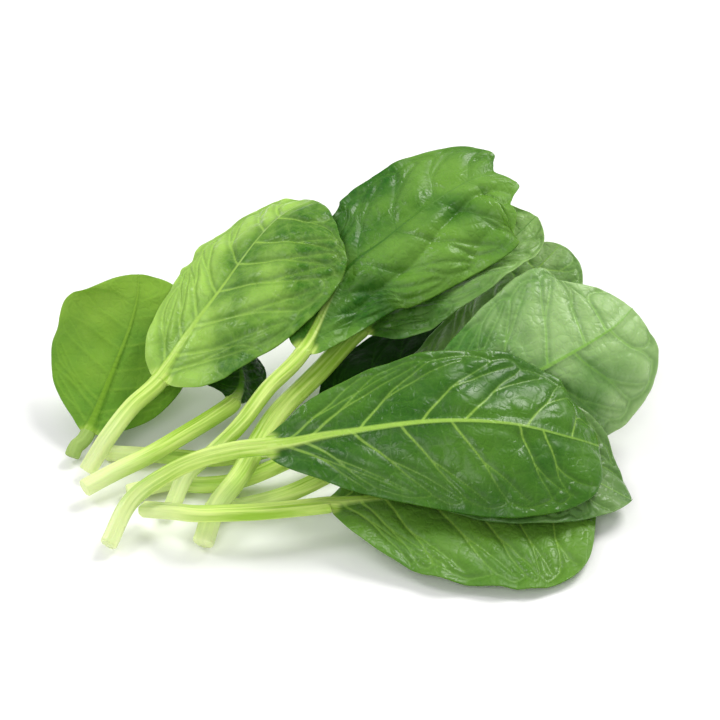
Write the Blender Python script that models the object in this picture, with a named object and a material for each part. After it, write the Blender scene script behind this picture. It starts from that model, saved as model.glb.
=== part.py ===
"""A loose bunch of spinach leaves lying on a surface, their cut stems towards -X and their blades towards +X.

Each leaf is one closed solid, lofted from the cut end of its stem to the tip of its blade. A leaf is first shaped
where it should lie, and is then raised just enough to rest on the surface and on the leaves already laid down.
The origin is at the middle of the bunch's footprint, on the surface. Lengths are in millimetres until a mesh is made.
"""

import math

import bpy
import numpy as np

MM = 0.001

# Lattice of each leaf: rows along the stem and the blade, columns from one margin to the other.
STEM_ROWS = 9
BLADE_ROWS = 15
COLUMNS = (-1.0, -0.8, -0.45, -0.15, 0.0, 0.15, 0.45, 0.8, 1.0)
LAST_ROW = 0.998  # where the loft ends, as a share of the blade's length: a blunt tip about 2 mm wide

BLADE_THICKNESS = 0.9  # a leaf's blade, with the relief between its veins
GAP = 0.7  # air between a leaf and what it lies on

CELL = 1.0  # side of a cell of the grid that holds the pile's height
REACH = 110.0  # half the side of that grid
FINER = 7  # points laid on the grid for each step of the lattice
SETTLE_PASSES = 10

# Linear colours of the leaves' upper sides, deeper where a leaf is older or lies in the others' shade.
MID_GREEN = (0.10, 0.29, 0.03)
DEEP_GREEN = (0.06, 0.20, 0.025)
PALE_GREEN = (0.22, 0.42, 0.06)


def half(width, fold, curl, shape=(0.62, 0.5), wave=(0.0, 1.0, 0.0)):
    """Half a blade. width is from rib to margin. fold is the angle at which it leaves the rib and curl how much it
    bends from there to its margin, both in degrees, positive upwards, at the blade's base, middle and tip.
    shape holds the exponents that round its base and its tip. wave is the ruffle of the margin: its height, how
    many waves the blade's length holds, and their phase."""
    return {"width": width, "fold": fold, "curl": curl, "shape": shape, "wave": wave}


def leaf(stem, rib, roll, left, right, radius=2.4, lobe=2.0, sweep=0.10, green=MID_GREEN, roughness=0.45):
    """One leaf. stem holds points from the cut end to the blade's base, and rib points from there to its tip.
    roll turns the blade about its rib at base, middle and tip, positive with its left side up. left is its left half,
    seen from the stem. radius is the stem's, lobe is how far the blade reaches back beside the stem, and sweep how
    far its side veins lean forward, as a share of its length."""
    return {
        "stem": stem, "rib": rib, "roll": roll, "left": left, "right": right,
        "radius": radius, "lobe": lobe, "sweep": sweep, "green": green, "roughness": roughness,
    }


# In the order in which they are laid down.
LEAVES = {
    "shaded_leaf": leaf(
        stem=[(-68, -18, 2.4), (-53, -20, 3), (-38, -22, 3.5), (-22, -19, 5)],
        rib=[(-10, -12, 7), (6, 1, 10), (24, 10, 13), (42, 18, 13)],
        roll=(0, 5, 5), radius=2.2, green=DEEP_GREEN,
        left=half(20, (10, 5, 0), (0, -10, -10)),
        right=half(20, (5, 0, -5), (-10, -15, -10)),
    ),
    "back_right_leaf": leaf(
        stem=[(-61, -35.5, 2.6), (-50, -32, 3), (-40, -33, 3), (-28, -31, 4), (-8, -22, 8)],
        rib=[(10, -8, 10), (30, 8, 18), (45, 23, 29), (56, 36, 34)],
        roll=(0, 0, 0), radius=2.3,
        left=half(16, (0, -5, -5), (-10, -15, -15)),
        right=half(16, (0, -5, -5), (-10, -15, -15)),
    ),
    "right_leaf": leaf(
        stem=[(-40, -43, 2.4), (-30, -41, 2.6), (-17, -38, 5), (-2, -31, 9)],
        rib=[(11, -26, 12), (32, -19, 20), (51, -13, 28), (66, -5, 33), (73, 4, 34)],
        roll=(15, 20, 15), radius=2.3,
        left=half(27, (10, 12, 5), (-5, -15, -15), (0.8, 0.5)),
        right=half(26, (-10, -25, -20), (-20, -45, -40), (0.6, 0.5)),
    ),
    "lower_top_leaf": leaf(
        stem=[(-40, -57, 2.9), (-37, -48, 7.5), (-31, -38, 10.5), (-23, -20, 15), (-11, -4, 19)],
        rib=[(0, 9, 24), (12, 16, 28), (25, 21, 32), (40, 29, 38), (49, 38, 42)],
        roll=(5, 5, 10), radius=2.8,
        left=half(20, (5, 0, 0), (0, -10, -10), (0.6, 0.5)),
        right=half(16, (-10, 5, 5), (-10, -15, -20), (0.4, 0.8)),
    ),
    "top_leaf": leaf(
        stem=[(-49, -43, 2.4), (-45, -36, 7.5), (-38, -29, 9), (-31, -25, 14), (-24, -17, 21)],
        rib=[(-15, -8, 28), (-5, 13, 38), (7, 22, 44), (18, 30, 49), (31, 39, 53), (42, 43, 53)],
        roll=(10, 15, 15), radius=2.2, lobe=0,
        left=half(20, (0, -3, -5), (-5, -10, -15), (0.6, 0.5)),
        right=half(26, (-5, -8, 5), (-20, -25, -15), (0.7, 0.4)),
    ),
    "left_leaf": leaf(
        stem=[(-77, -20, 2.4), (-76, -18, 4)],
        rib=[(-73, -14, 6), (-67, 2, 15), (-63, 12, 22), (-61, 19, 28), (-61, 24, 32)],
        roll=(180, 180, 180), radius=2.1, lobe=0, green=PALE_GREEN, roughness=0.6,
        left=half(19, (10, 10, 0), (10, 10, 10), (0.5, 0.6)),
        right=half(22, (0, 0, 0), (10, 10, 10), (0.7, 0.55)),
    ),
    "tucked_leaf": leaf(
        stem=[(-72, -37, 2.6), (-58, -27, 5), (-47, -20, 9), (-37, -14, 13)],
        rib=[(-34, -11, 14), (-32, -5, 15), (-32.5, 2, 16), (-35, 9, 17)],
        roll=(0, 0, 0), radius=2.5, lobe=0, green=DEEP_GREEN,
        left=half(12, (0, 0, 0), (-10, -10, -10), (0.9, 0.6)),
        right=half(7, (-30, -30, -10), (-10, -10, -10), (1.0, 0.6)),
    ),
    "upper_left_leaf": leaf(
        stem=[(-72.5, -26.5, 2.6), (-70, -24, 6), (-66.5, -20, 10), (-61, -13, 14)],
        rib=[(-54, -6, 17), (-46, 4, 24), (-38, 13, 31), (-28, 27, 40), (-21, 35, 44), (-13, 41.5, 45)],
        roll=(-5, -8, -8), radius=2.5,
        left=half(18, (0, -5, -10), (-5, -15, -20), (0.6, 0.5)),
        right=half(29, (0, -5, 0), (-10, -20, -20), (0.5, 0.5)),
    ),
    "front_low_leaf": leaf(
        stem=[(-56, -45, 2.6), (-48, -50, 6), (-40, -55, 9.5), (-28, -54, 10), (-18, -52, 10)],
        rib=[(-8, -50, 10), (8, -47, 10), (25, -46, 9), (45, -45, 7), (61, -47, 4)],
        roll=(0, 0, 0), radius=2.3,
        left=half(15, (10, 15, 15), (0, 0, 0)),
        right=half(29.5, (-10, -10, -5), (-5, -5, 0), (0.42, 0.25)),
    ),
    "right_low_leaf": leaf(
        stem=[(-26, -35, 13), (-20, -34.5, 14)],
        rib=[(-13, -34, 15), (5, -36, 16), (36, -38, 16), (54, -39, 12), (70.5, -41, 4)],
        roll=(10, 10, 5), radius=2.2, green=DEEP_GREEN,
        left=half(20, (10, 10, 5), (0, 0, 0), (0.7, 0.7), (1.5, 3, 0)),
        right=half(19, (0, -5, -5), (-10, -20, -20), (0.7, 0.7), (1.5, 3, 0.3)),
    ),
    "front_leaf": leaf(
        stem=[(-64, -58, 2.6), (-59, -48, 8), (-50, -44, 14), (-41, -43, 19), (-32, -43, 22)],
        rib=[(-24, -44, 24), (-17, -45, 26), (-6, -44, 28), (18, -41.5, 30), (38, -40, 28), (54, -37, 21), (62, -33, 15)],
        roll=(40, 38, 30), radius=2.3,
        left=half(21, (-10, -8, -8), (-5, -12, -15), (0.7, 0.5)),
        right=half(24, (0, 0, 0), (-10, -20, -20), (0.7, 0.5)),
    ),
}


def smooth_path(points, count=400):
    """count evenly spaced points on the Catmull-Rom curve through points."""
    ends = 2 * points[0] - points[1], 2 * points[-1] - points[-2]
    p = np.vstack([ends[0], points, ends[1]])
    u = np.linspace(0, 1, 40, endpoint=False)[:, None]
    spans = [
        p[i] + 0.5 * u * (p[i + 1] - p[i - 1] + u * (2 * p[i - 1] - 5 * p[i] + 4 * p[i + 1] - p[i + 2]
                          + u * (3 * (p[i] - p[i + 1]) + p[i + 2] - p[i - 1])))
        for i in range(1, len(p) - 2)
    ]
    line = np.vstack([*spans, points[-1]])
    gone = np.concatenate([[0], np.cumsum(np.linalg.norm(np.diff(line, axis=0), axis=1))])
    at = np.linspace(0, gone[-1], count)
    return np.stack([np.interp(at, gone, line[:, k]) for k in range(3)], axis=1), at


def unit(v):
    return v / np.linalg.norm(v, axis=-1, keepdims=True)


def three(values, t):
    """The smooth curve through values at 0, 0.5 and 1, read at t."""
    return values[0] * (1 - t) * (1 - 2 * t) + values[1] * 4 * t * (1 - t) + values[2] * t * (2 * t - 1)


class Spine:
    """The line along a leaf's middle. Distances along it count from the blade's base, so the stem's are negative."""

    def __init__(self, spec):
        points = np.array(spec["stem"] + spec["rib"], float)
        self.line, gone = smooth_path(points)
        base = np.linalg.norm(self.line - points[len(spec["stem"])], axis=1).argmin()
        self.at = gone - gone[base]
        self.stem, self.blade = -self.at[0], self.at[-1]
        ahead = unit(np.gradient(self.line, axis=0))
        level = unit(np.cross([0, 0, 1], ahead))
        roll = np.radians(three(spec["roll"], np.clip(self.at / self.blade, 0, 1)))[:, None]
        upright = np.cross(ahead, level)
        self.left = np.cos(roll) * level + np.sin(roll) * upright
        self.up = np.cos(roll) * upright - np.sin(roll) * level

    def read(self, values, at):
        return np.stack([np.interp(at, self.at, values[:, k]) for k in range(3)], axis=-1)


def rib_radius(spec, t):
    """The stem's radius, which falls off fast where the blade begins and then evenly to the tip."""
    return spec["radius"] * (0.1 + 0.5 * (1 - t) + 0.4 * np.exp(-t / 0.05))


def blade_share(t):
    """0 on the stem, and 1 from just above the blade's base."""
    s = np.clip(t / 0.06, 0, 1)
    return s * s * (3 - 2 * s)


def outline(spec, spine, side, t):
    """Where the blade's margin is on that side: how far along, and how far from the rib."""
    base, tip = spec[side]["shape"]
    widest = base / (base + tip)
    share = t ** base * (1 - t) ** tip / (widest ** base * (1 - widest) ** tip)
    reached = np.clip(t / 0.07, 0, None)
    along = spine.blade * (t + spec["sweep"] * np.sin(math.pi * t)) - spec["lobe"] * reached * np.exp(1 - reached)
    return along, spec[side]["width"] * share + rib_radius(spec, t)


def surface(spec, spine, t, stem_at, column):
    """The lattice of a leaf's middle surface, with its normals, and its thickness above and below.
    t is a column of rows from 0 at the blade's base to 1 at its tip, stem_at how far before the base a row is, and
    column a row of positions from -1 at the right margin to 1 at the left one."""
    share, rib = blade_share(t), rib_radius(spec, t)
    place, normal = [], []
    for side, sign in (("right", -1), ("left", 1)):
        part = spec[side]
        margin_at, margin = outline(spec, spine, side, t)
        out = np.abs(column)
        on_blade = np.where(out < 0.15, out / 0.15 * rib / margin, rib / margin + (1 - rib / margin) * (out - 0.15) / 0.85)
        v = share * on_blade + (1 - share) * np.sin(out * math.pi / 2)
        across = v * margin
        along = spine.blade * t - stem_at + (margin_at - spine.blade * t) * v * share
        lies = np.clip(along / spine.blade, 0, 1)
        fold = np.radians(three(part["fold"], lies)) * share
        curl = np.radians(three(part["curl"], lies)) * share
        curl = np.where(np.abs(curl) < 1e-4, 1e-4, curl)
        angle = fold + curl * across / part["width"]
        height, waves, phase = part["wave"]
        ruffle = height * v ** 2 * share * np.sin(2 * math.pi * (waves * t + phase))
        x = part["width"] / curl * (np.sin(angle) - np.sin(fold)) - ruffle * np.sin(angle)
        y = part["width"] / curl * (np.cos(fold) - np.cos(angle)) + ruffle * np.cos(angle)
        if side == "right":
            reach_right = across
        outward, up = sign * spine.read(spine.left, along), spine.read(spine.up, along)
        place.append(spine.read(spine.line, along) + x[..., None] * outward + y[..., None] * up)
        normal.append(np.cos(angle)[..., None] * up - np.sin(angle)[..., None] * outward)
    is_left = (column > 0)[..., None]
    place, normal = (np.where(is_left, pair[1], pair[0]) for pair in (place, normal))
    reach = np.where(column > 0, across, reach_right)
    bulge = rib * np.sqrt(np.clip(1 - (reach / rib) ** 2, 0, None))
    sheet = BLADE_THICKNESS / 2 * share * (np.abs(column) < 1)
    above = sheet + bulge * (0.8 - 0.6 * share)
    below = sheet + bulge * (1.0 - 0.1 * share)
    return place, unit(normal), above, below


def lattice(spec, spine):
    """The two faces of a leaf, upper and lower, as rows of points from the cut end of the stem to the tip."""
    blade = LAST_ROW * (1 - np.cos(np.linspace(0, math.pi, BLADE_ROWS))) / 2
    stem = spine.stem * np.linspace(1, 0, STEM_ROWS, endpoint=False)
    t = np.concatenate([np.zeros(STEM_ROWS), blade])[:, None]
    stem_at = np.concatenate([stem, np.zeros(BLADE_ROWS)])[:, None]
    place, normal, above, below = surface(spec, spine, t, stem_at, np.array([COLUMNS]))
    return place + normal * above[..., None], place - normal * below[..., None]


def finer(points):
    """The lattice with FINER - 1 points set evenly between every two neighbours along its rows and columns."""
    for axis in (0, 1):
        count = points.shape[axis]
        at = np.linspace(0, count - 1, (count - 1) * FINER + 1)
        low = np.minimum(at.astype(int), count - 2)
        share = (at - low).reshape((-1, 1, 1) if axis == 0 else (1, -1, 1))
        points = np.take(points, low, axis) * (1 - share) + np.take(points, low + 1, axis) * share
    return points


def cells(points):
    last = int(2 * REACH / CELL) - 1
    return tuple(np.clip(((points[..., k] + REACH) / CELL).astype(int), 0, last) for k in (0, 1))


def spread(values):
    """Each value averaged with its neighbours along the rows and then along the columns."""
    for axis in (0, 1):
        padded = np.concatenate([values.take([0], axis), values, values.take([-1], axis)], axis)
        inner = range(1, values.shape[axis] + 1)
        values = sum(w * padded.take([k + d for k in inner], axis) for d, w in ((-1, 0.25), (0, 0.5), (1, 0.25)))
    return values


def raised(faces, pile):
    """How far each point of the lattice goes up, so that the leaf lies clear of the pile and bends smoothly."""
    near = np.pad(pile, 1, mode="edge")
    near = np.max([near[i:i + pile.shape[0], j:j + pile.shape[1]] for i in range(3) for j in range(3)], axis=0)
    need = np.max([near[cells(face)] + GAP - face[..., 2] for face in map(finer, faces)], axis=0)
    rows, columns = faces[0].shape[:2]
    need = np.array([
        [need[max(0, (i - 1) * FINER + 1):(i + 1) * FINER, max(0, (j - 1) * FINER + 1):(j + 1) * FINER].max()
         for j in range(columns)] for i in range(rows)
    ])
    lift = np.maximum(need, 0)
    for _ in range(SETTLE_PASSES):
        lift[:STEM_ROWS] = lift[:STEM_ROWS].max(axis=1, keepdims=True)
        lift = np.maximum(need, spread(lift))
    lift[:STEM_ROWS] = lift[:STEM_ROWS].max(axis=1, keepdims=True)
    return lift


def settle():
    """The faces of every leaf once the bunch has been laid down, leaf by leaf, with the origin under its middle."""
    size = int(2 * REACH / CELL)
    pile = np.full((size, size), -GAP)
    laid = {}
    for name, spec in LEAVES.items():
        faces = lattice(spec, Spine(spec))
        lift = raised(faces, pile)
        for face in faces:
            face[..., 2] += lift
            fine = finer(face)
            np.maximum.at(pile, cells(fine), fine[..., 2])
        laid[name] = faces
    points = np.concatenate([face.reshape(-1, 3) for faces in laid.values() for face in faces])
    low, high = points.min(axis=0), points.max(axis=0)
    middle = np.array([(low[0] + high[0]) / 2, (low[1] + high[1]) / 2, low[2]])
    return {name: [face - middle for face in faces] for name, faces in laid.items()}


def leaf_material(name, spec):
    material = bpy.data.materials.new(name)
    material.use_nodes = True
    shader = material.node_tree.nodes["Principled BSDF"]
    shader.inputs["Base Color"].default_value = (*spec["green"], 1)
    shader.inputs["Roughness"].default_value = spec["roughness"]
    shader.inputs["Metallic"].default_value = 0
    material.diffuse_color = (*spec["green"], 1)
    return material


def add_leaf(name, faces, material):
    """The closed solid between the two faces, which meet along the margins."""
    upper, lower = faces
    rows, columns = upper.shape[:2]
    around = 2 * columns - 2
    loops = np.concatenate([upper, lower[:, -2:0:-1]], axis=1)
    index = np.arange(rows * around).reshape(rows, around)
    polygons = []
    for i in range(rows - 1):
        for j in range(around):
            after = (j + 1) % around
            a, b, c, d = index[i, j], index[i + 1, j], index[i + 1, after], index[i, after]
            # both faces are split along the same diagonal, so that they stay apart where the blade twists
            polygons += [(a, b, c), (a, c, d)] if j < columns - 1 else [(a, b, d), (b, c, d)]
    for row, turn in ((0, 1), (rows - 1, -1)):
        for j in range(columns - 1):
            ends = [index[row, j], index[row, j + 1], index[row, -j - 1], index[row, -j % around]]
            corners = list(dict.fromkeys(ends))
            polygons.append(tuple(corners[::turn]))
    mesh = bpy.data.meshes.new(name)
    mesh.from_pydata((loops.reshape(-1, 3) * MM).tolist(), [], [tuple(int(k) for k in p) for p in polygons])
    mesh.materials.append(material)
    mesh.update()
    made = bpy.data.objects.new(name, mesh)
    bpy.context.scene.collection.objects.link(made)


def main():
    for old in list(bpy.data.objects):
        bpy.data.objects.remove(old)
    for name, faces in settle().items():
        add_leaf(name, faces, leaf_material(name, LEAVES[name]))


if __name__ == "__main__":
    main()
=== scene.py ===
"""The looks of a loose bunch of spinach leaves: each leaf's fine surface, its veins, its colours and its
gloss.

Each leaf follows the same curves as its CAD solid, laid down in the same order, on a much finer lattice. A
visible blade is thinner than its solid, and its panels bulge up between sunken veins around the place of
that solid. Lengths are in millimetres until a mesh is made, and in metres in the studio. A point of a leaf
laid flat has x, the distance along the rib, and y, the distance to the left of it.
"""

import math

import bpy
import numpy as np
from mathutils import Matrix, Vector


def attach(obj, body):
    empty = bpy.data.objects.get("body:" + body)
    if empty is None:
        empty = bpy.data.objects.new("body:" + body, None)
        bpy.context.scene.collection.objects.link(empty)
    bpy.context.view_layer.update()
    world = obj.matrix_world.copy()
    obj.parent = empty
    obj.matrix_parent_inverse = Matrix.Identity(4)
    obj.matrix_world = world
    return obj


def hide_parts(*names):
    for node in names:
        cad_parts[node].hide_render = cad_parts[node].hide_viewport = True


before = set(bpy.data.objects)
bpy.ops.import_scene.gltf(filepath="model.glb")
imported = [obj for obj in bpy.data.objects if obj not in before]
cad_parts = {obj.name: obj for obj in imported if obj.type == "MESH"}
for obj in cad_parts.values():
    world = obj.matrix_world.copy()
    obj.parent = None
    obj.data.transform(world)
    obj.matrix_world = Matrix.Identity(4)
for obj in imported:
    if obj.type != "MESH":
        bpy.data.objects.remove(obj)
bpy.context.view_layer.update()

MM = 0.001

# The coarse lattice on which the CAD leaves were laid down: rows along stem and blade, columns from margin to
# margin.
STEM_ROWS = 9
BLADE_ROWS = 15
ON_RIB = 0.15  # how far the rib reaches across the columns
COLUMNS = (-1.0, -0.8, -0.45, -ON_RIB, 0.0, ON_RIB, 0.45, 0.8, 1.0)
LAST_ROW = 0.998  # where a leaf ends, as a share of its blade's length
SOLID_THICKNESS = 0.9  # a CAD blade's
GAP = 0.7  # air between a leaf and what it lies on
CELL = 1.0  # side of a cell of the grid that holds the pile's height
REACH = 110.0  # half the side of that grid
FINER = 7  # points laid on the grid for each step of the lattice
SETTLE_PASSES = 10

# The fine lattice of the visible leaves.
FINE_BLADE_ROWS = 230
FINE_STEM_ROWS = 56
RIB_COLUMNS = 8  # on each side, as are the blade's
BLADE_COLUMNS = 55
LIFT_BLUR = 30  # passes that smooth the coarse lattice's lifts on the fine one
SHEET = 0.45  # the thickness of a visible blade
FLOOR_GAP = 0.02  # the least height of a leaf above the surface
CUT_ROUNDING = 0.7  # how far from its cut end a stem starts to round off
CUT_WIDTH = 0.86  # the share of its width that is left there

# Side veins.
VEIN_STARTS = (0.01, 0.10, 0.23, 0.38, 0.54, 0.69, 0.82)  # where they leave the rib, as shares of the blade
VEIN_JITTER = 0.035
VEIN_LOOPS_AT = 0.84  # the share of the way to the margin at which each meets the one ahead
VEIN_STEPS = 9  # points on a vein
FORK_STEPS = 6
LOOP_STEPS = 7
FAR = 50.0  # more than any point's distance from a vein

# The relief.
PANEL_RISE = 0.66  # height of the panels between the side veins
PANEL_SLOPE = 1.3  # how far from a vein a panel has risen most of the way
NET_RISE = 0.09  # the same for the net of finer veins, and the size of its cells
NET_SLOPE = 0.9
NET_CELL = 6.5
RIB_VALLEY = 2.0  # width of the valley along the rib
SUNK = 0.3  # how far the veins lie below the sheet's middle
WAVES = ((5.5, 0.26), (12.0, 0.42))  # size and height of the soft waves, and of those at the margin
MARGIN_WAVES = ((8.0, 0.40), (4.0, 0.12))
FOLD_SIZE = 26.0  # of the waves that bend the folds
PALE_PATCHES = 14.0  # size of the paler patches
TEAR_FROM = 0.86  # where along the blade a torn tip begins

# The studio, in metres.
FLOOR_REACH = 3.0
WORLD_STRENGTH = 0.48
LIGHTS_AIM = (0, 0, 0.02)
LIGHTS = {  # place, size, power and colour
    "key": ((0.75, 0.65, 1.2), 0.8, 16.0, (1.0, 0.99, 0.97)),
    "left": ((-0.9, 0.2, 1.1), 0.5, 5.5, (1, 1, 1)),
    "front": ((-0.3, -1.2, 1.0), 0.7, 6.0, (1, 1, 1)),
}
CAMERA_TILT = 35  # degrees above the surface
CAMERA_AWAY = 0.65
CAMERA_LENS = 120.4
LOOKED_AT = (0, 0, 20)  # in the leaves' own millimetres


def half(width, fold, curl, shape=(0.62, 0.5), wave=(0.0, 1.0, 0.0)):
    """Half a blade. width is from rib to margin. fold is the angle at which it leaves the rib and curl how
    much it bends from there to its margin, both in degrees, positive upwards, at the blade's base, middle
    and tip. shape holds the exponents that round its base and its tip. wave is the ruffle of the margin:
    its height, how many waves the blade's length holds, and their phase."""
    return {"width": width, "fold": fold, "curl": curl, "shape": shape, "wave": wave}


def leaf(stem, rib, roll, left, right, radius=2.4, lobe=2.0, sweep=0.10):
    """One leaf. stem holds points from the cut end to the blade's base, and rib points from there to its
    tip. roll turns the blade about its rib at base, middle and tip, positive with its left side up. left is
    its left half, seen from the stem. radius is the stem's, lobe is how far the blade reaches back beside
    the stem, and sweep how far its side veins lean forward, as a share of its length."""
    return {
        "stem": stem, "rib": rib, "roll": roll, "left": left, "right": right,
        "radius": radius, "lobe": lobe, "sweep": sweep,
    }


# In the order in which they are laid down.
LEAVES = {
    "shaded_leaf": leaf(
        stem=[(-68, -18, 2.4), (-53, -20, 3), (-38, -22, 3.5), (-22, -19, 5)],
        rib=[(-10, -12, 7), (6, 1, 10), (24, 10, 13), (42, 18, 13)],
        roll=(0, 5, 5), radius=2.2,
        left=half(20, (10, 5, 0), (0, -10, -10)),
        right=half(20, (5, 0, -5), (-10, -15, -10)),
    ),
    "back_right_leaf": leaf(
        stem=[(-61, -35.5, 2.6), (-50, -32, 3), (-40, -33, 3), (-28, -31, 4), (-8, -22, 8)],
        rib=[(10, -8, 10), (30, 8, 18), (45, 23, 29), (56, 36, 34)],
        roll=(0, 0, 0), radius=2.3,
        left=half(16, (0, -5, -5), (-10, -15, -15)),
        right=half(16, (0, -5, -5), (-10, -15, -15)),
    ),
    "right_leaf": leaf(
        stem=[(-40, -43, 2.4), (-30, -41, 2.6), (-17, -38, 5), (-2, -31, 9)],
        rib=[(11, -26, 12), (32, -19, 20), (51, -13, 28), (66, -5, 33), (73, 4, 34)],
        roll=(15, 20, 15), radius=2.3,
        left=half(27, (10, 12, 5), (-5, -15, -15), (0.8, 0.5)),
        right=half(26, (-10, -25, -20), (-20, -45, -40), (0.6, 0.5)),
    ),
    "lower_top_leaf": leaf(
        stem=[(-40, -57, 2.9), (-37, -48, 7.5), (-31, -38, 10.5), (-23, -20, 15), (-11, -4, 19)],
        rib=[(0, 9, 24), (12, 16, 28), (25, 21, 32), (40, 29, 38), (49, 38, 42)],
        roll=(5, 5, 10), radius=2.8,
        left=half(20, (5, 0, 0), (0, -10, -10), (0.6, 0.5)),
        right=half(16, (-10, 5, 5), (-10, -15, -20), (0.4, 0.8)),
    ),
    "top_leaf": leaf(
        stem=[(-49, -43, 2.4), (-45, -36, 7.5), (-38, -29, 9), (-31, -25, 14), (-24, -17, 21)],
        rib=[(-15, -8, 28), (-5, 13, 38), (7, 22, 44), (18, 30, 49), (31, 39, 53), (42, 43, 53)],
        roll=(10, 15, 15), radius=2.2, lobe=0,
        left=half(20, (0, -3, -5), (-5, -10, -15), (0.6, 0.5)),
        right=half(26, (-5, -8, 5), (-20, -25, -15), (0.7, 0.4)),
    ),
    "left_leaf": leaf(
        stem=[(-77, -20, 2.4), (-76, -18, 4)],
        rib=[(-73, -14, 6), (-67, 2, 15), (-63, 12, 22), (-61, 19, 28), (-61, 24, 32)],
        roll=(180, 180, 180), radius=2.1, lobe=0,
        left=half(19, (10, 10, 0), (10, 10, 10), (0.5, 0.6)),
        right=half(22, (0, 0, 0), (10, 10, 10), (0.7, 0.55)),
    ),
    "tucked_leaf": leaf(
        stem=[(-72, -37, 2.6), (-58, -27, 5), (-47, -20, 9), (-37, -14, 13)],
        rib=[(-34, -11, 14), (-32, -5, 15), (-32.5, 2, 16), (-35, 9, 17)],
        roll=(0, 0, 0), radius=2.5, lobe=0,
        left=half(12, (0, 0, 0), (-10, -10, -10), (0.9, 0.6)),
        right=half(7, (-30, -30, -10), (-10, -10, -10), (1.0, 0.6)),
    ),
    "upper_left_leaf": leaf(
        stem=[(-72.5, -26.5, 2.6), (-70, -24, 6), (-66.5, -20, 10), (-61, -13, 14)],
        rib=[(-54, -6, 17), (-46, 4, 24), (-38, 13, 31), (-28, 27, 40), (-21, 35, 44), (-13, 41.5, 45)],
        roll=(-5, -8, -8), radius=2.5,
        left=half(18, (0, -5, -10), (-5, -15, -20), (0.6, 0.5)),
        right=half(29, (0, -5, 0), (-10, -20, -20), (0.5, 0.5)),
    ),
    "front_low_leaf": leaf(
        stem=[(-56, -45, 2.6), (-48, -50, 6), (-40, -55, 9.5), (-28, -54, 10), (-18, -52, 10)],
        rib=[(-8, -50, 10), (8, -47, 10), (25, -46, 9), (45, -45, 7), (61, -47, 4)],
        roll=(0, 0, 0), radius=2.3,
        left=half(15, (10, 15, 15), (0, 0, 0)),
        right=half(29.5, (-10, -10, -5), (-5, -5, 0), (0.42, 0.25)),
    ),
    "right_low_leaf": leaf(
        stem=[(-26, -35, 13), (-20, -34.5, 14)],
        rib=[(-13, -34, 15), (5, -36, 16), (36, -38, 16), (54, -39, 12), (70.5, -41, 4)],
        roll=(10, 10, 5), radius=2.2,
        left=half(20, (10, 10, 5), (0, 0, 0), (0.7, 0.7), (1.5, 3, 0)),
        right=half(19, (0, -5, -5), (-10, -20, -20), (0.7, 0.7), (1.5, 3, 0.3)),
    ),
    "front_leaf": leaf(
        stem=[(-64, -58, 2.6), (-59, -48, 8), (-50, -44, 14), (-41, -43, 19), (-32, -43, 22)],
        rib=[(-24, -44, 24), (-17, -45, 26), (-6, -44, 28), (18, -41.5, 30), (38, -40, 28), (54, -37, 21),
             (62, -33, 15)],
        roll=(40, 38, 30), radius=2.3,
        left=half(21, (-10, -8, -8), (-5, -12, -15), (0.7, 0.5)),
        right=half(24, (0, 0, 0), (-10, -20, -20), (0.7, 0.5)),
    ),
}


def look(low, high, vein=(0.16, 0.34, 0.06), rib=(0.38, 0.62, 0.09), veined=0.5, relief=1.0, pleats=0.0,
         torn=0.0, across=0.0, along=0.0, rough=0.38, gloss=0.24, shine=0.06, wide=0.62,
         stem_shade=0.0, taper=0.6):
    """How a leaf looks. low and high are the linear colours of its panels, vein of its side veins and rib
    of its midrib. veined is how strongly the side veins show, relief scales the quilting between them,
    pleats is the height of the folds along the right half, and torn how deep the tip is torn. across and
    along paint light and shade: they make the panels paler to the left and to the tip, where the leaf
    catches light, and darker on its shaded side. gloss is the specular level, shine the weight of the wet
    coat, wide scales the veins' width, stem_shade is how far the stem takes the midrib's darker colour,
    partly its own and partly painted shade, and taper how much the blade narrows towards its stem, within
    the outline of its solid."""
    return {"low": low, "high": high, "vein": vein, "rib": rib, "veined": veined, "relief": relief,
            "pleats": pleats, "torn": torn, "across": across, "along": along, "rough": rough, "gloss": gloss,
            "shine": shine, "wide": wide, "stem_shade": stem_shade, "taper": taper}


# Painted light in these colours: the greyish paler greens of back_right_leaf, right_leaf and lower_top_leaf
# are painted sheen, and across and along paint each leaf paler where it catches light and darker on its shaded
# side.
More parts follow.
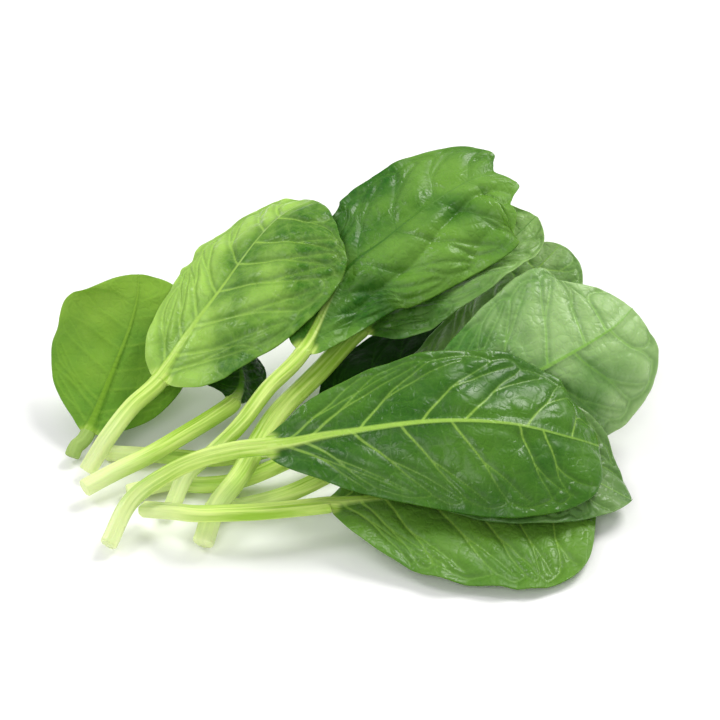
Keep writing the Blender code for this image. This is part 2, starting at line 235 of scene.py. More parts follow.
LOOKS = {
    # Painted shade: near-black greens for the deep shade this leaf lies in under the others.
    "shaded_leaf": look((0.005, 0.030, 0.001), (0.010, 0.055, 0.003), vein=(0.02, 0.08, 0.006),
                        rib=(0.04, 0.13, 0.01), veined=0.35, rough=0.6, gloss=0.1, shine=0.0),
    "back_right_leaf": look((0.15, 0.30, 0.07), (0.26, 0.42, 0.14), relief=1.3),
    "right_leaf": look((0.025, 0.17, 0.001), (0.31, 0.49, 0.18), vein=(0.20, 0.40, 0.08),
                       rib=(0.24, 0.50, 0.07), along=0.6, across=0.1, relief=1.4),
    "lower_top_leaf": look((0.035, 0.14, 0.008), (0.27, 0.46, 0.13), veined=0.3, relief=1.7, along=0.6,
                           rib=(0.12, 0.28, 0.05)),
    # Painted shade: top_leaf's midrib is darkened to its panels' green, for the shade in the fold along it.
    "top_leaf": look((0.008, 0.10, 0.000), (0.14, 0.31, 0.035), veined=0.3, rib=(0.03, 0.13, 0.004), along=0.4,
                     across=-0.3, relief=1.4, pleats=0.9, torn=4.5, taper=0.3),
    "left_leaf": look((0.03, 0.16, 0.000), (0.30, 0.49, 0.05), vein=(0.22, 0.40, 0.04),
                      rib=(0.16, 0.32, 0.02), veined=0.25, relief=0.6, along=0.6, rough=0.6, gloss=0.15,
                      shine=0.0, stem_shade=0.7),
    # Painted shade: near-black greens for the shade this leaf lies in, tucked under the leaves above.
    "tucked_leaf": look((0.008, 0.05, 0.002), (0.025, 0.10, 0.004), vein=(0.05, 0.15, 0.01),
                        rib=(0.10, 0.24, 0.02), veined=0.3, gloss=0.15),
    "upper_left_leaf": look((0.035, 0.15, 0.003), (0.36, 0.60, 0.10), vein=(0.28, 0.48, 0.09),
                            veined=0.55, relief=1.6, across=0.45, along=-0.2, taper=0.1),
    "front_low_leaf": look((0.07, 0.20, 0.015), (0.12, 0.27, 0.03), vein=(0.18, 0.36, 0.06), veined=0.5,
                           relief=1.3),
    "right_low_leaf": look((0.06, 0.17, 0.025), (0.16, 0.29, 0.08), veined=0.35, relief=1.6, rough=0.36,
                           shine=0.15),
    "front_leaf": look((0.018, 0.105, 0.002), (0.065, 0.19, 0.010), vein=(0.12, 0.28, 0.030), veined=0.55,
                       relief=1.2, along=0.15, rough=0.33, shine=0.2),
}
STEM_COLOURS = ((0.32, 0.56, 0.04), (0.70, 0.87, 0.24))
CUT_COLOUR = (0.84, 0.92, 0.50)
UNDER_COLOUR = (0.16, 0.33, 0.035)


def smooth_path(points, count=400):
    """count evenly spaced points on the Catmull-Rom curve through points."""
    ends = 2 * points[0] - points[1], 2 * points[-1] - points[-2]
    p = np.vstack([ends[0], points, ends[1]])
    u = np.linspace(0, 1, 40, endpoint=False)[:, None]
    spans = [
        p[i] + 0.5 * u * (p[i + 1] - p[i - 1] + u * (2 * p[i - 1] - 5 * p[i] + 4 * p[i + 1] - p[i + 2]
                          + u * (3 * (p[i] - p[i + 1]) + p[i + 2] - p[i - 1])))
        for i in range(1, len(p) - 2)
    ]
    line = np.vstack([*spans, points[-1]])
    gone = np.concatenate([[0], np.cumsum(np.linalg.norm(np.diff(line, axis=0), axis=1))])
    at = np.linspace(0, gone[-1], count)
    return np.stack([np.interp(at, gone, line[:, k]) for k in range(3)], axis=1), at


def unit(v):
    return v / np.linalg.norm(v, axis=-1, keepdims=True)


def three(values, t):
    """The smooth curve through values at 0, 0.5 and 1, read at t."""
    return values[0] * (1 - t) * (1 - 2 * t) + values[1] * 4 * t * (1 - t) + values[2] * t * (2 * t - 1)


class Spine:
    """The line along a leaf's middle. Distances along it count from the blade's base, so the stem's are
    negative."""

    def __init__(self, spec):
        points = np.array(spec["stem"] + spec["rib"], float)
        self.line, gone = smooth_path(points)
        base = np.linalg.norm(self.line - points[len(spec["stem"])], axis=1).argmin()
        self.at = gone - gone[base]
        self.stem, self.blade = -self.at[0], self.at[-1]
        ahead = unit(np.gradient(self.line, axis=0))
        level = unit(np.cross([0, 0, 1], ahead))
        roll = np.radians(three(spec["roll"], np.clip(self.at / self.blade, 0, 1)))[:, None]
        upright = np.cross(ahead, level)
        self.left = np.cos(roll) * level + np.sin(roll) * upright
        self.up = np.cos(roll) * upright - np.sin(roll) * level

    def read(self, values, at):
        return np.stack([np.interp(at, self.at, values[:, k]) for k in range(3)], axis=-1)


def rib_radius(spec, t):
    """The stem's radius, which falls off fast where the blade begins and then evenly to the tip."""
    return spec["radius"] * (0.1 + 0.5 * (1 - t) + 0.4 * np.exp(-t / 0.05))


def blade_share(t):
    """0 on the stem, and 1 from just above the blade's base."""
    s = np.clip(t / 0.06, 0, 1)
    return s * s * (3 - 2 * s)


def outline(spec, spine, side, t):
    """Where the blade's margin is on that side: how far along, and how far from the rib. A visible blade's
    taper narrows it near the stem; a solid has none."""
    base, tip = spec[side]["shape"]
    taper = 1 - spec.get("taper", 0) * np.exp(-t / 0.07)
    widest = base / (base + tip)
    share = t ** base * (1 - t) ** tip / (widest ** base * (1 - widest) ** tip)
    reached = np.clip(t / 0.07, 0, None)
    along = spine.blade * (t + spec["sweep"] * np.sin(math.pi * t))
    along = along - spec["lobe"] * reached * np.exp(1 - reached)
    return along, spec[side]["width"] * share * taper + rib_radius(spec, t)


def surface(spec, spine, t, stem_at, column):
    """A leaf's middle surface: places, normals, how far along it each point lies and how far from the rib,
    in all and as a share of the way to the margin.
    t is a column of rows from 0 at the blade's base to 1 at its tip, stem_at how far before the base a row
    is, and column a row of positions from -1 at the right margin to 1 at the left one."""
    share, rib = blade_share(t), rib_radius(spec, t)
    place, normal = [], []
    for side, sign in (("right", -1), ("left", 1)):
        part = spec[side]
        margin_at, margin = outline(spec, spine, side, t)
        out = np.abs(column)
        past_rib = (out - ON_RIB) / (1 - ON_RIB)
        edge = rib / margin
        on_blade = np.where(out < ON_RIB, out / ON_RIB * edge, edge + (1 - edge) * past_rib)
        v = share * on_blade + (1 - share) * np.sin(out * math.pi / 2)
        across = v * margin
        along = spine.blade * t - stem_at + (margin_at - spine.blade * t) * v * share
        lies = np.clip(along / spine.blade, 0, 1)
        fold = np.radians(three(part["fold"], lies)) * share
        curl = np.radians(three(part["curl"], lies)) * share
        curl = np.where(np.abs(curl) < 1e-4, 1e-4, curl)
        angle = fold + curl * across / part["width"]
        height, count, phase = part["wave"]
        ruffle = height * v ** 2 * share * np.sin(2 * math.pi * (count * t + phase))
        x = part["width"] / curl * (np.sin(angle) - np.sin(fold)) - ruffle * np.sin(angle)
        y = part["width"] / curl * (np.cos(fold) - np.cos(angle)) + ruffle * np.cos(angle)
        if side == "right":
            reach_right, along_right, v_right = across, along, v
        outward, up = sign * spine.read(spine.left, along), spine.read(spine.up, along)
        place.append(spine.read(spine.line, along) + x[..., None] * outward + y[..., None] * up)
        normal.append(np.cos(angle)[..., None] * up - np.sin(angle)[..., None] * outward)
    is_left = (column > 0)[..., None]
    place, normal = (np.where(is_left, pair[1], pair[0]) for pair in (place, normal))
    reach = np.where(column > 0, across, reach_right)
    along = np.where(column > 0, along, along_right)
    return place, unit(normal), along, reach, np.where(column > 0, v, v_right)


def lattice(spec, spine):
    """The two faces of a leaf, upper and lower, as rows of points from the cut end of the stem to the tip."""
    blade = LAST_ROW * (1 - np.cos(np.linspace(0, math.pi, BLADE_ROWS))) / 2
    stem = spine.stem * np.linspace(1, 0, STEM_ROWS, endpoint=False)
    t = np.concatenate([np.zeros(STEM_ROWS), blade])[:, None]
    stem_at = np.concatenate([stem, np.zeros(BLADE_ROWS)])[:, None]
    column = np.array([COLUMNS])
    place, normal, _, reach, _ = surface(spec, spine, t, stem_at, column)
    share, rib = blade_share(t), rib_radius(spec, t)
    bulge = rib * np.sqrt(np.clip(1 - (reach / rib) ** 2, 0, None))
    sheet = SOLID_THICKNESS / 2 * share * (np.abs(column) < 1)
    above = sheet + bulge * (0.8 - 0.6 * share)
    below = sheet + bulge * (1.0 - 0.1 * share)
    return place + normal * above[..., None], place - normal * below[..., None]


def finer(points):
    """The lattice with FINER - 1 points set evenly between every two neighbours along its rows and columns."""
    for axis in (0, 1):
        count = points.shape[axis]
        at = np.linspace(0, count - 1, (count - 1) * FINER + 1)
        low = np.minimum(at.astype(int), count - 2)
        share = (at - low).reshape((-1, 1, 1) if axis == 0 else (1, -1, 1))
        points = np.take(points, low, axis) * (1 - share) + np.take(points, low + 1, axis) * share
    return points


def cells(points):
    last = int(2 * REACH / CELL) - 1
    return tuple(np.clip(((points[..., k] + REACH) / CELL).astype(int), 0, last) for k in (0, 1))


def spread(values):
    """Each value averaged with its neighbours along the rows and then along the columns."""
    for axis in (0, 1):
        padded = np.concatenate([values.take([0], axis), values, values.take([-1], axis)], axis)
        inner = range(1, values.shape[axis] + 1)
        weights = ((-1, 0.25), (0, 0.5), (1, 0.25))
        values = sum(w * padded.take([k + d for k in inner], axis) for d, w in weights)
    return values


def raised(faces, pile):
    """How far each point of the lattice goes up, so that the leaf lies clear of the pile and bends
    smoothly."""
    near = np.pad(pile, 1, mode="edge")
    near = np.max([near[i:i + pile.shape[0], j:j + pile.shape[1]] for i in range(3) for j in range(3)], axis=0)
    need = np.max([near[cells(face)] + GAP - face[..., 2] for face in map(finer, faces)], axis=0)
    rows, columns = faces[0].shape[:2]
    need = np.array([
        [need[max(0, (i - 1) * FINER + 1):(i + 1) * FINER, max(0, (j - 1) * FINER + 1):(j + 1) * FINER].max()
         for j in range(columns)] for i in range(rows)
    ])
    lift = np.maximum(need, 0)
    for _ in range(SETTLE_PASSES):
        lift[:STEM_ROWS] = lift[:STEM_ROWS].max(axis=1, keepdims=True)
        lift = np.maximum(need, spread(lift))
    lift[:STEM_ROWS] = lift[:STEM_ROWS].max(axis=1, keepdims=True)
    return lift


def settle():
    """How far each point of each leaf's lattice is raised once the bunch has been laid down, and the middle
    of the bunch's footprint."""
    size = int(2 * REACH / CELL)
    pile = np.full((size, size), -GAP)
    lifts, low, high = {}, np.full(3, np.inf), np.full(3, -np.inf)
    for name, spec in LEAVES.items():
        faces = lattice(spec, Spine(spec))
        lifts[name] = raised(faces, pile)
        for face in faces:
            face[..., 2] += lifts[name]
            fine = finer(face)
            np.maximum.at(pile, cells(fine), fine[..., 2])
            low = np.minimum(low, face.min(axis=(0, 1)))
            high = np.maximum(high, face.max(axis=(0, 1)))
    return lifts, np.array([(low[0] + high[0]) / 2, (low[1] + high[1]) / 2, low[2]])


def fine_rows(spine):
    """The fine lattice's rows: place along the blade, distance before its base, and row of the coarse one."""
    u = np.linspace(0, 1, FINE_BLADE_ROWS)
    t = LAST_ROW * (0.6 * u + 0.4 * (1 - np.cos(math.pi * u)) / 2)
    blade_row = STEM_ROWS + (BLADE_ROWS - 1) * np.arccos(np.clip(1 - 2 * t / LAST_ROW, -1, 1)) / math.pi
    from_cut = np.concatenate([
        [0, 0.12, 0.35, CUT_ROUNDING], np.linspace(1.2, spine.stem, FINE_STEM_ROWS, endpoint=False)])
    stem_row = STEM_ROWS * from_cut / spine.stem
    return (np.concatenate([np.zeros(len(from_cut)), t])[:, None],
            np.concatenate([spine.stem - from_cut, np.zeros(len(t))])[:, None],
            np.concatenate([stem_row, blade_row]))


def fine_columns():
    """The fine lattice's columns, closer together on the rib."""
    inner, outer = np.linspace(0, ON_RIB, RIB_COLUMNS), np.linspace(ON_RIB, 1, BLADE_COLUMNS)[1:]
    half_row = np.concatenate([inner, outer])
    return np.concatenate([-half_row[:0:-1], half_row])[None, :]


def lift_on(lift, rows, column):
    """The coarse lattice's lift, read smoothly on the fine one."""
    by_row = np.stack([np.interp(rows, np.arange(len(lift)), values) for values in lift.T], axis=1)
    fine = np.stack([np.interp(column[0], COLUMNS, row) for row in by_row])
    for _ in range(LIFT_BLUR):
        fine = spread(fine)
    return fine


def waves(rng, along, across, size, count=7):
    """Smooth noise between about -1 and 1 with bumps of the given size."""
    total = np.zeros_like(along)
    for _ in range(count):
        turn = rng.uniform(0, 2 * math.pi)
        phase = rng.uniform(0, 2 * math.pi)
        scale = rng.uniform(0.7, 1.5)
        gone = along * math.cos(turn) + across * math.sin(turn)
        total += np.sin(math.pi * gone / (size * scale) + phase)
    return total / math.sqrt(count)


def cell_edges(along, across, size, seed):
    """The distance from each point to the nearest border of a network of irregular cells of the given size."""
    def jitter(i, j, k):
        """A number from 0.15 to 0.85 that is scattered from cell to cell."""
        h = np.sin(i * 127.1 + j * 311.7 + k * 74.7 + seed * 19.3) * 43758.5453
        return 0.15 + 0.7 * (h - np.floor(h))

    x, y = along / size, across / size
    i0, j0 = np.floor(x), np.floor(y)
    near = []
    for di in (-1, 0, 1):
        for dj in (-1, 0, 1):
            i, j = i0 + di, j0 + dj
            near.append((x - i - jitter(i, j, 1)) ** 2 + (y - j - jitter(i, j, 2)) ** 2)
    near = np.sqrt(np.sort(np.stack(near), axis=0)[:2])
    return (near[1] - near[0]) / 2 * size


def veins(spec, spine, rng, wide):
    """Segments of the side veins, as start, end and half-width on the leaf laid flat. Each vein leans
    forward, forks, and loops into the one ahead."""
    segments = []
    for side, sign in (("right", -1), ("left", 1)):
        def flat(t, v):
            """The place on the leaf laid flat, at t along the blade and v of the way to its margin."""
            t = np.clip(t, 0.001, 0.99)
            margin_at, margin = outline(spec, spine, side, t)
            on_rib = spine.blade * t
            return np.stack([on_rib + (margin_at - on_rib) * v, sign * v * margin], axis=-1)

        starts = np.array(VEIN_STARTS) + rng.uniform(-VEIN_JITTER, VEIN_JITTER, len(VEIN_STARTS))
        starts = np.clip(starts + (VEIN_JITTER if side == "left" else 0), 0.01, 0.95)
        ends = []
        for start in starts:
            lean = (0.17 + rng.uniform(-0.03, 0.05)) * (1 - 0.75 * start)
            v = np.linspace(0, VEIN_LOOPS_AT, VEIN_STEPS)
            t = start + lean * v ** rng.uniform(0.9, 1.5) + 0.008 * v * np.sin(v * 11 + rng.uniform(0, 6))
            width = wide * (0.56 - 0.50 * v) * (1.1 - 0.5 * start)
            ends.append(t[-1])
            add_line(segments, flat(t, v), width)
            fork = VEIN_STEPS // 2
            branch_v = np.linspace(v[fork], min(0.93, v[fork] + 0.42), FORK_STEPS)
            s = np.linspace(0, 1, FORK_STEPS)
            branch = t[fork] + (0.055 + 0.02 * rng.random()) * s ** 1.2 + lean * 0.6 * s
            add_line(segments, flat(branch, branch_v), wide * (0.26 - 0.20 * s))
        for t0, t1 in zip(ends, ends[1:]):
            s = np.linspace(0, 1, LOOP_STEPS)
            loop = flat(t0 + (t1 - t0) * s, VEIN_LOOPS_AT + 0.07 * np.sin(math.pi * s))
            add_line(segments, loop, wide * np.full(len(s), 0.10))
    return segments


def add_line(segments, points, width):
    """Adds the segments of a vein through points to the list."""
    for a, b, w in zip(points, points[1:], (width[:-1] + width[1:]) / 2):
        segments.append((*a, *b, w))


def beyond(segments, x, y):
    """The distance from each point to the nearest vein's edge, negative on the vein."""
    best = np.full(x.shape, FAR)
    for ax, ay, bx, by, w in segments:
        dx, dy = bx - ax, by - ay
        s = np.clip(((x - ax) * dx + (y - ay) * dy) / (dx * dx + dy * dy + 1e-9), 0, 1)
        away = np.hypot(x - ax - s * dx, y - ay - s * dy) - w
        best = np.minimum(best, away)
    return best


def two_sized(rng, x, y, sizes):
    """The sum of waves of the given sizes and heights."""
    return sum(waves(rng, x, y, size) * height for size, height in sizes)


def relief(rng, style, share, t, x, y, v, past_rib, panel, net):
    """How far the blade's sheet stands above its middle surface. Its panels rise between the sunken veins."""
    beside_rib = 1 - np.exp(-(np.clip(past_rib, 0, None) / RIB_VALLEY) ** 2)
    small = 1 - np.exp(-(net / NET_SLOPE) ** 2)
    quilt = PANEL_RISE * panel * beside_rib + NET_RISE * small * beside_rib
    folds = 2 * np.abs(np.sin(-0.30 * y + 0.9 * waves(rng, x, y * 1.5, FOLD_SIZE))) - 1.2
    pleats = style["pleats"] * folds * np.clip(-y / 5, 0, 1)
    soft = two_sized(rng, x, y, WAVES)
    edge = v ** 3 * two_sized(rng, x, y * 0.3, MARGIN_WAVES)
    height = style["relief"] * (quilt - SUNK) * beside_rib + soft * beside_rib + edge + pleats
    return height * share * np.clip((1 - t) / 0.03, 0.2, 1)


def torn(style, t, y):
    """How far back along the leaf its tip is torn."""
    rags = 0.5 + 0.5 * np.sin(y * 0.42 + 0.6) + 0.06 * np.sin(y * 1.3)
    return style["torn"] * np.clip((t - TEAR_FROM) / (1 - TEAR_FROM), 0, 1) ** 1.5 * rags


def thickness(t, share, rib, column, reach, v, end):
    """How far the leaf reaches above and below its sheet's middle: the sheet, and the ridged stem and rib
    with a groove along their top. end is how much of its width a stem has left near its cut."""
    ridges = 1 + 0.05 * np.cos(column * math.pi / 2 * 9 + 0.7) * (1 - 0.6 * share)
    groove = 1 - 0.22 * np.exp(-(reach / rib / 0.42) ** 2)
    bulge = rib * np.sqrt(np.clip(1 - (reach / rib) ** 2, 0, None)) * ridges * end
    sheet = SHEET / 2 * np.sqrt(np.clip(1 - v ** 30, 0, 1)) * share * (np.abs(column) < 1)
    settled = np.clip(t / 0.25, 0, 1)
    settled = settled * settled * (3 - 2 * settled)
    return sheet + bulge * groove * (0.8 - 0.58 * settled), sheet + bulge * (1.0 - 0.1 * share)


def loops(upper, lower):
    """The two faces' values as one loop around the leaf for each row, which share the margins."""
    return np.concatenate([upper, lower[:, -2:0:-1]], axis=1)


def shell(name, upper, lower):
    """The closed mesh between the two faces."""
    rows, columns = upper.shape[:2]
    points = loops(upper, lower).reshape(-1, 3)
    points[:, 2] = np.maximum(points[:, 2], FLOOR_GAP)
    index = np.arange(len(points)).reshape(rows, 2 * columns - 2)
    after = np.roll(index, -1, axis=1)
    polygons = np.stack([index[:-1], index[1:], after[1:], after[:-1]], axis=-1).reshape(-1, 4).tolist()
    for row, turn in ((0, 1), (rows - 1, -1)):
        for j in range(columns - 1):
            ends = index[row, [j, j + 1, -j - 1, -j % index.shape[1]]].tolist()
            polygons.append(list(dict.fromkeys(ends))[::turn])
    mesh = bpy.data.meshes.new(name)
    mesh.from_pydata((points * MM).tolist(), [], polygons)
    mesh.shade_smooth()
    return mesh


def make_leaf(name, number, lift, middle):
    """A leaf's fine mesh, with what its material reads: distances to veins, place on the leaf, and which
    side it is."""
    style = LOOKS[name]
    spec = dict(LEAVES[name], taper=style["taper"], lobe=LEAVES[name]["lobe"] * (1 - style["taper"]))
    rng = np.random.default_rng(100 + number)
    spine = Spine(spec)
    t, stem_at, rows = fine_rows(spine)
    column = fine_columns()
    place, normal, x, reach, v = surface(spec, spine, t, stem_at, column)
    place[..., 2] += lift_on(lift, rows, column)
    y = np.sign(column) * reach
    column = np.broadcast_to(column, x.shape)
    share, rib = blade_share(t), rib_radius(spec, t)

    ahead = unit(spine.line[-1] - spine.line[-20])
    place = place - ahead * torn(style, t, y)[..., None]
    from_cut = spine.stem - stem_at
    rounding = 1 - np.clip(from_cut / CUT_ROUNDING, 0, 1)
    end = CUT_WIDTH + (1 - CUT_WIDTH) * np.sqrt(1 - rounding ** 2)
    centre = place[:, [x.shape[1] // 2]]
    place = centre + (place - centre) * end[..., None]

    vein = beyond(veins(spec, spine, rng, style["wide"]), x, y)
    net = cell_edges(x, y, NET_CELL, number)
    panel = 1 - np.exp(-np.clip(vein + 0.1, 0, None) / PANEL_SLOPE)
    height = relief(rng, style, share, t, x, y, v, reach - rib, panel, net)
    above, below = thickness(t, share, rib, column, reach, v, end)
    mesh = shell(name + "_looks", place + normal * (height + above)[..., None] - middle,
                 place + normal * (height - below)[..., None] - middle)

    # Painted light and shade: across and along make a leaf paler where it catches light and darker on its
    # shaded side, and raised panels come out paler than the valleys by the veins; the waves add paler patches
    # at random.
    tone_and_painted_light = (0.5 + 0.22 * waves(rng, x, y, PALE_PATCHES) + style["across"] * np.clip(y / 18, -1, 1)
                + style["along"] * (2 * t - 1) + 0.12 * (panel - 0.5))
    ones = np.ones_like(x)
    fields = {
        "vein": vein, "net": net, "rib": reach / rib, "out": v, "stalk": (1 - share) * ones, "grown": t * ones,
        "from_cut": (from_cut + 40 * (t > 0)) * ones, "tone_and_painted_light": tone_and_painted_light,
    }
    layers = {key: loops(values, values) for key, values in fields.items()}
    layers["under"] = loops(0 * ones, ones)
    for key, values in layers.items():
        written = mesh.attributes.new(key, "FLOAT", "POINT").data
        written.foreach_set("value", values.ravel().astype(np.float32))
    flat = np.stack([loops(x, x), loops(y, y), np.full(layers["vein"].shape, 10.0 * number)], axis=-1)
    written = mesh.attributes.new("flat", "FLOAT_VECTOR", "POINT").data
    written.foreach_set("vector", flat.ravel().astype(np.float32))
    made = bpy.data.objects.new(name + "_looks", mesh)
    bpy.context.scene.collection.objects.link(made)
    return made


class Graph:
    """A material's nodes, written as a formula."""

    def __init__(self, name):
        self.material = bpy.data.materials.new(name)
        self.material.use_nodes = True
        self.tree = self.material.node_tree
        self.shader = self.tree.nodes["Principled BSDF"]

    def put(self, socket, value):
        if isinstance(value, bpy.types.NodeSocket):
            self.tree.links.new(value, socket)
        elif isinstance(value, tuple) and len(value) == 3 and socket.type == "RGBA":
            socket.default_value = (*value, 1)
        else:
            socket.default_value = value

    def read(self, name, vector=False):
        node = self.tree.nodes.new("ShaderNodeAttribute")
        node.attribute_name = name
        return node.outputs["Vector" if vector else "Fac"]

    def math(self, operation, a, b=0.0):
        node = self.tree.nodes.new("ShaderNodeMath")
        node.operation = operation
        self.put(node.inputs[0], a)
        self.put(node.inputs[1], b)
        return node.outputs[0]

    def between(self, value, start, end, low=0.0, high=1.0):
        """low where value is at start, high where it is at end, smoothly between."""
        node = self.tree.nodes.new("ShaderNodeMapRange")
        node.interpolation_type = "SMOOTHSTEP"
        for key, number in zip(range(5), (value, start, end, low, high)):
            self.put(node.inputs[key], number)
        return node.outputs[0]

    def mix(self, share, a, b, kind="MIX"):
        node = self.tree.nodes.new("ShaderNodeMix")
        node.data_type, node.blend_type = "RGBA", kind
        self.put(node.inputs["Factor"], share)
        self.put(node.inputs[6], a)
        self.put(node.inputs[7], b)
        return node.outputs[2]

    def stretch(self, vector, scale):
        node = self.tree.nodes.new("ShaderNodeVectorMath")
        node.operation = "MULTIPLY"
        self.put(node.inputs[0], vector)
        self.put(node.inputs[1], scale)
        return node.outputs[0]

    def noise(self, vector, scale, detail=2.0):
        node = self.tree.nodes.new("ShaderNodeTexNoise")
        self.put(node.inputs["Vector"], vector)
        node.inputs["Scale"].default_value = scale
        node.inputs["Detail"].default_value = detail
        return node.outputs["Fac"]

    def borders(self, vector, scale):
        node = self.tree.nodes.new("ShaderNodeTexVoronoi")
        node.feature = "DISTANCE_TO_EDGE"
        self.put(node.inputs["Vector"], vector)
        node.inputs["Scale"].default_value = scale
        return node.outputs["Distance"]

    def bump(self, height, distance, before=None, strength=1.0):
        node = self.tree.nodes.new("ShaderNodeBump")
        self.put(node.inputs["Height"], height)
        node.inputs["Distance"].default_value = distance
        node.inputs["Strength"].default_value = strength
        if before is not None:
            self.put(node.inputs["Normal"], before)
        return node.outputs["Normal"]


def leaf_material(name):
    style = LOOKS[name]
    g = Graph(name + "_skin")
    flat, under, stalk = g.read("flat", True), g.read("under"), g.read("stalk")
    vein, net, rib = g.read("vein"), g.read("net"), g.read("rib")
    patches, mottle = g.noise(flat, 0.07), g.noise(flat, 0.35, 4.0)
    streaks = g.noise(g.stretch(flat, (0.04, 1.1, 1.0)), 1.0, 3.0)
    mesh_of_veins = g.borders(flat, 0.5)

    veined = style["veined"]
    # Random tone and painted light and shade together choose each point's panel colour between low and high.
    pale = g.math("ADD", g.read("tone_and_painted_light"), g.between(patches, 0.3, 0.7, -0.2, 0.2))
    panel = g.mix(g.between(pale, 0.0, 1.0), style["low"], style["high"])
    panel = g.mix(g.between(mottle, 0.3, 0.7, 0.0, 0.25), panel, style["high"])
    # Painted shade: darker green in the valleys just beside the veins.
    painted_crease_shade = g.math("MULTIPLY", g.between(vein, 0.1, 0.4), g.between(vein, 0.5, 1.8, 0.5 * veined, 0.0))
    panel = g.mix(painted_crease_shade, panel, tuple(0.5 * c for c in style["low"]))
    panel = g.mix(g.between(mesh_of_veins, 0.0, 0.10, 0.14 * veined, 0.0), panel, style["vein"])
    panel = g.mix(g.between(net, 0.0, 0.40, 0.30 * veined, 0.0), panel, style["vein"])
    panel = g.mix(g.between(vein, 0.0, 1.6, 0.35 * veined, 0.0), panel, style["vein"])
    outward = g.between(g.read("out"), 0.1, 0.9, veined, 0.35 * veined)
    panel = g.mix(g.between(vein, -0.15, 0.20, outward, 0.0), panel, style["rib"])
    lower = g.mix(g.between(vein, -0.1, 0.35, veined, 0.0), g.mix(0.6, panel, UNDER_COLOUR), style["vein"])
    skin = g.mix(under, panel, lower)
    rib_colour = g.mix(g.between(g.read("grown"), 0.3, 1.0, 0.0, 0.75), style["rib"], style["vein"])
    skin = g.mix(g.between(rib, 0.25, 0.95, 0.92, 0.0), skin, rib_colour)
    stem = g.mix(g.between(streaks, 0.3, 0.7), *STEM_COLOURS)
    stem = g.mix(g.between(g.read("from_cut"), 0.0, 26.0, 0.75, 0.0), stem, CUT_COLOUR)
    # The stem takes the midrib's darker green: partly the stem's own colour, partly painted shade.
    stem = g.mix(style["stem_shade"], stem, style["rib"])
    beside = g.between(rib, 1.0, 2.2, 1.0, 0.0)
    skin = g.mix(g.math("MULTIPLY", g.between(stalk, 0.05, 0.8), beside), skin, stem)
    near_base = g.between(g.read("grown"), 0.0, 0.3, 1.0, 0.0)
    on_rib = g.math("MULTIPLY", g.between(rib, 0.45, 1.15, 0.9, 0.0), near_base)
    skin = g.mix(g.math("MULTIPLY", on_rib, g.math("SUBTRACT", 1.0, under)), skin, stem)
    g.put(g.shader.inputs["Base Color"], skin)

    wet = g.noise(flat, 0.13, 1.5)
    rough = g.math("ADD", g.between(mottle, 0.25, 0.75, -0.04, 0.06),
                   g.between(wet, 0.38, 0.62, style["rough"] - 0.10, style["rough"] + 0.10))
    rough = g.math("ADD", rough, g.math("MULTIPLY", under, 0.15))
    g.put(g.shader.inputs["Roughness"], rough)
    g.shader.inputs["Specular IOR Level"].default_value = style["gloss"]
    g.shader.inputs["Coat Weight"].default_value = style["shine"]
    g.shader.inputs["Coat Roughness"].default_value = 0.3
    g.shader.inputs["Subsurface Weight"].default_value = 0.12
    g.shader.inputs["Subsurface Radius"].default_value = (1.0, 1.4, 0.3)
    g.shader.inputs["Subsurface Scale"].default_value = 0.0008
    on_blade = g.math("SUBTRACT", 1.0, stalk)
    bumps = g.bump(g.math("MULTIPLY", g.between(mesh_of_veins, 0.0, 0.25), on_blade), 0.00010, strength=0.7)
    bumps = g.bump(g.math("MULTIPLY", g.between(net, 0.0, 1.0), on_blade), 0.00012, bumps, strength=0.6)
    puckers = g.noise(g.stretch(flat, (0.8, 0.2, 1.0)), 1.0)
    wrinkles = g.math("MULTIPLY", puckers, g.between(rib, 1.5, 9.0, 1.0, 0.0))
    bumps = g.bump(g.math("MULTIPLY", wrinkles, on_blade), 0.0006, bumps, strength=0.35)
    bumps = g.bump(g.noise(flat, 1.6, 3.0), 0.00006, bumps, strength=0.4)
    bumps = g.bump(g.math("MULTIPLY", streaks, stalk), 0.00045, bumps, strength=0.8)
    g.put(g.shader.inputs["Normal"], bumps)
    return g.material


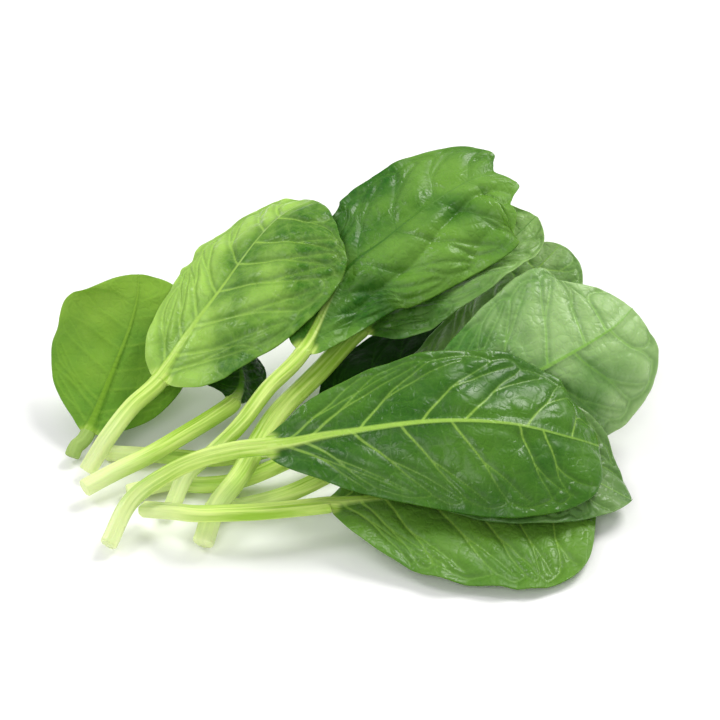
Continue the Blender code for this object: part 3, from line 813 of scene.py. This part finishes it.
def area_light(name, place, size, power, colour):
    data = bpy.data.lights.new(name, "AREA")
    data.shape, data.size, data.energy, data.color = "DISK", size, power, colour
    lamp = bpy.data.objects.new(name, data)
    lamp.location = place
    lamp.rotation_euler = (Vector(LIGHTS_AIM) - Vector(place)).to_track_quat("-Z", "Y").to_euler()
    bpy.context.scene.collection.objects.link(lamp)


def studio(middle):
    """The floor, the lights and the camera."""
    scene = bpy.context.scene
    scene.view_settings.view_transform = "Standard"
    mesh = bpy.data.meshes.new("floor")
    corners = [(x * FLOOR_REACH, y * FLOOR_REACH, 0) for x, y in ((-1, -1), (1, -1), (1, 1), (-1, 1))]
    mesh.from_pydata(corners, [], [(0, 1, 2, 3)])
    floor = bpy.data.objects.new("floor", mesh)
    scene.collection.objects.link(floor)
    white = Graph("floor_white")
    white.shader.inputs["Base Color"].default_value = (0.97, 0.97, 0.97, 1)
    white.shader.inputs["Roughness"].default_value = 0.9
    white.shader.inputs["Specular IOR Level"].default_value = 0.1
    mesh.materials.append(white.material)

    world = bpy.data.worlds.new("studio")
    world.use_nodes = True
    world.node_tree.nodes["Background"].inputs["Color"].default_value = (1, 1, 1, 1)
    world.node_tree.nodes["Background"].inputs["Strength"].default_value = WORLD_STRENGTH
    scene.world = world
    for name, light in LIGHTS.items():
        area_light(name, *light)

    target = Vector((LOOKED_AT - middle) * MM)
    tilt = math.radians(CAMERA_TILT)
    data = bpy.data.cameras.new("camera")
    data.sensor_width, data.lens = 36.0, CAMERA_LENS
    camera = bpy.data.objects.new("camera", data)
    camera.location = target + CAMERA_AWAY * Vector((0, -math.cos(tilt), math.sin(tilt)))
    camera.rotation_euler = (math.pi / 2 - tilt, 0, 0)
    data.clip_start, data.clip_end = 0.01, 20
    scene.collection.objects.link(camera)
    scene.camera = camera


lifts, middle = settle()
for number, leaf_name in enumerate(LEAVES):
    piece = make_leaf(leaf_name, number, lifts[leaf_name], middle)
    piece.data.materials.append(leaf_material(leaf_name))
    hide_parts(leaf_name)
    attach(piece, "root")
studio(middle)
